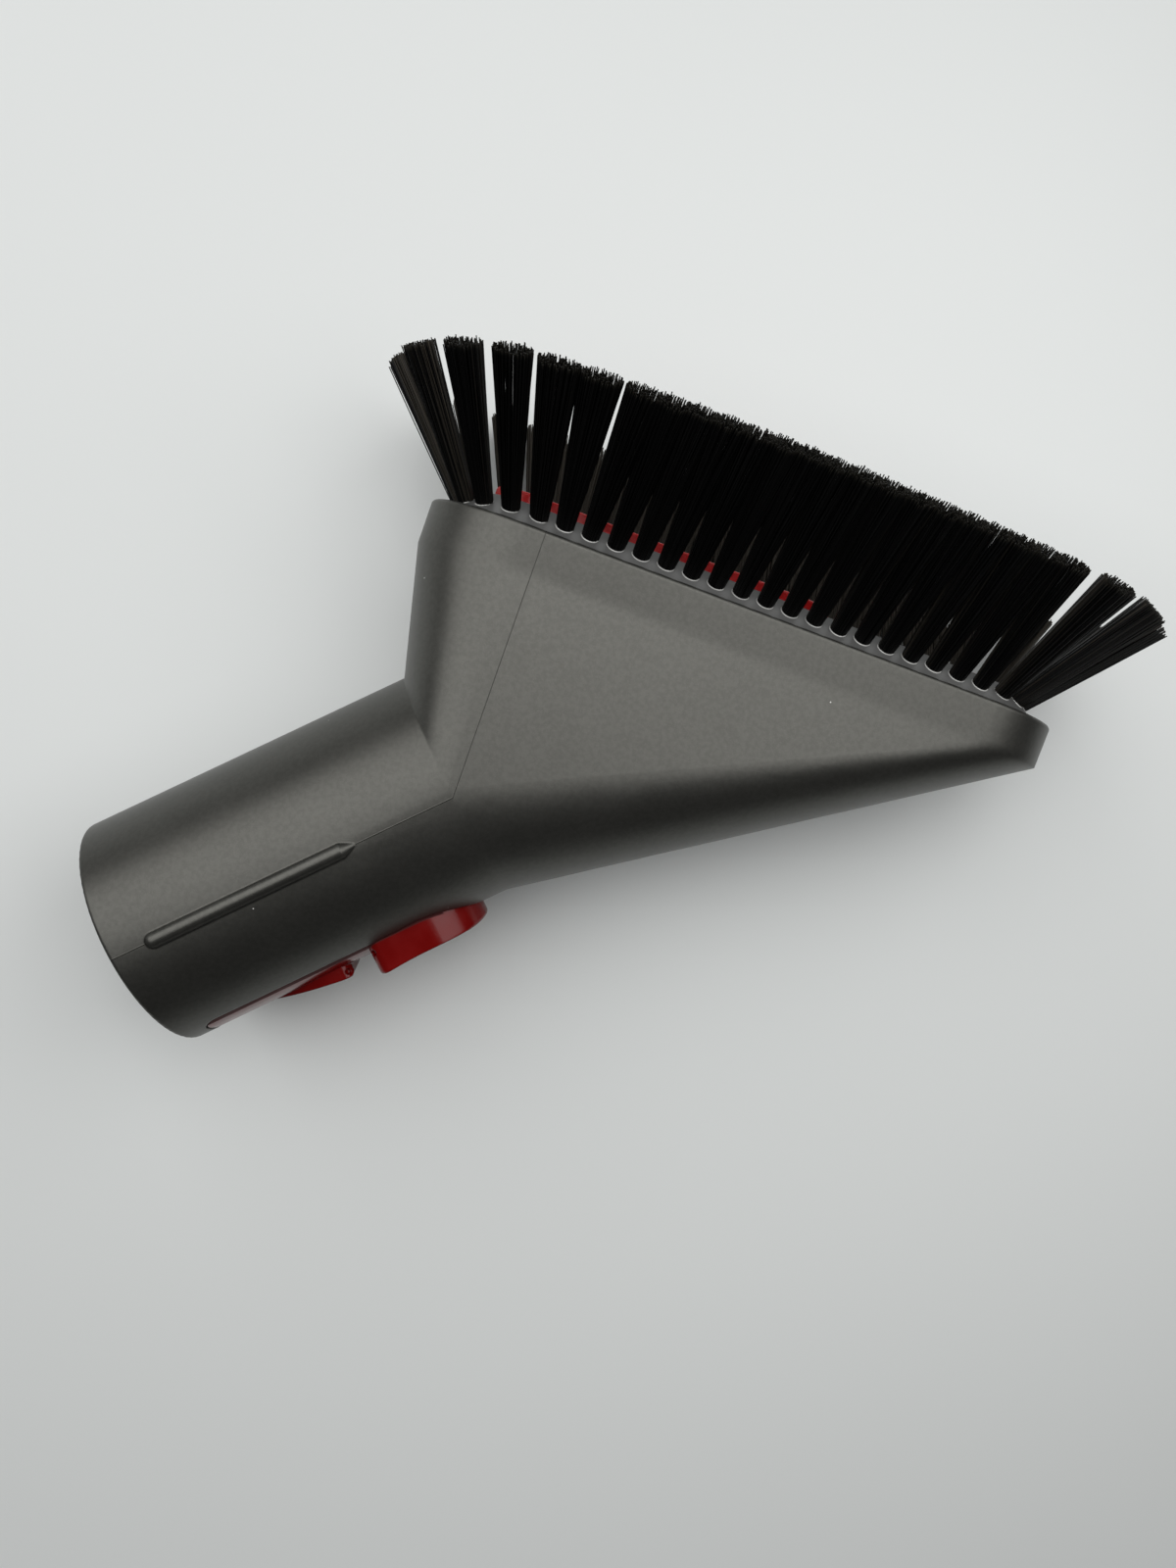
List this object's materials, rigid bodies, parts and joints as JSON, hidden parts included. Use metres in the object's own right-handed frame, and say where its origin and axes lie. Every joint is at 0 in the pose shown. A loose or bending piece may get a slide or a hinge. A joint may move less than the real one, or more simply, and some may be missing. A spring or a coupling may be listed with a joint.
{
  "type": "vacuum dusting brush",
  "caption": "Vacuum cleaner dusting brush: round neck at 45 degrees with a rocking release latch, wide flat head and a ring of bristle tufts round a raised suction slot.",
  "frame": {"origin": "centre of the neck's open end, on the neck's line", "axes": "+X along the mouth, +Y out of the mouth where the bristles point, +Z square to the two broad sides; the neck's line runs 45 degrees between +X and +Y"},
  "size_m": [0.181, 0.1382, 0.065],
  "materials": {
    "housing": "fine spark texture",
    "carrier": "satin",
    "red_trim": "gloss",
    "steel": "drawn wire",
    "bristles": "soft nylon"
  },
  "bodies": {
    "brush": {"housing": "housing", "bristle_carrier": "carrier", "slot_liner": "red_trim", "latch_pivot_pin": "steel", "latch_spring": "steel", "tuft_anchors": "steel", "tuft_01": "bristles", "tuft_02": "bristles", "tuft_03": "bristles", "tuft_04": "bristles", "tuft_05": "bristles", "tuft_06": "bristles", "tuft_07": "bristles", "tuft_08": "bristles", "tuft_09": "bristles", "tuft_10": "bristles", "tuft_11": "bristles", "tuft_12": "bristles", "tuft_13": "bristles", "tuft_14": "bristles", "tuft_15": "bristles", "tuft_16": "bristles", "tuft_17": "bristles", "tuft_18": "bristles", "tuft_19": "bristles", "tuft_20": "bristles", "tuft_21": "bristles", "tuft_22": "bristles", "tuft_23": "bristles", "tuft_24": "bristles", "tuft_25": "bristles", "tuft_26": "bristles", "tuft_27": "bristles", "tuft_28": "bristles", "tuft_29": "bristles", "tuft_30": "bristles", "tuft_31": "bristles", "tuft_32": "bristles", "tuft_33": "bristles", "tuft_34": "bristles", "tuft_35": "bristles", "tuft_36": "bristles", "tuft_37": "bristles", "tuft_38": "bristles", "tuft_39": "bristles", "tuft_40": "bristles", "tuft_41": "bristles", "tuft_42": "bristles", "tuft_43": "bristles", "tuft_44": "bristles", "tuft_45": "bristles", "tuft_46": "bristles", "tuft_47": "bristles", "tuft_48": "bristles", "tuft_49": "bristles", "tuft_50": "bristles", "tuft_51": "bristles", "tuft_52": "bristles"},
    "latch": {"release_latch": "red_trim"}
  },
  "joints": [
    {"name": "latch_press", "type": "hinge", "parent": "brush", "child": "latch", "pos_m": [0.03564, 0.01103, 0], "axis": [0, 0, 1], "range_deg": [0, 4.5], "stiffness_Nm_per_rad": 0.2, "springref_deg": -17.19, "deforming": ["latch_spring"]}
  ]
}
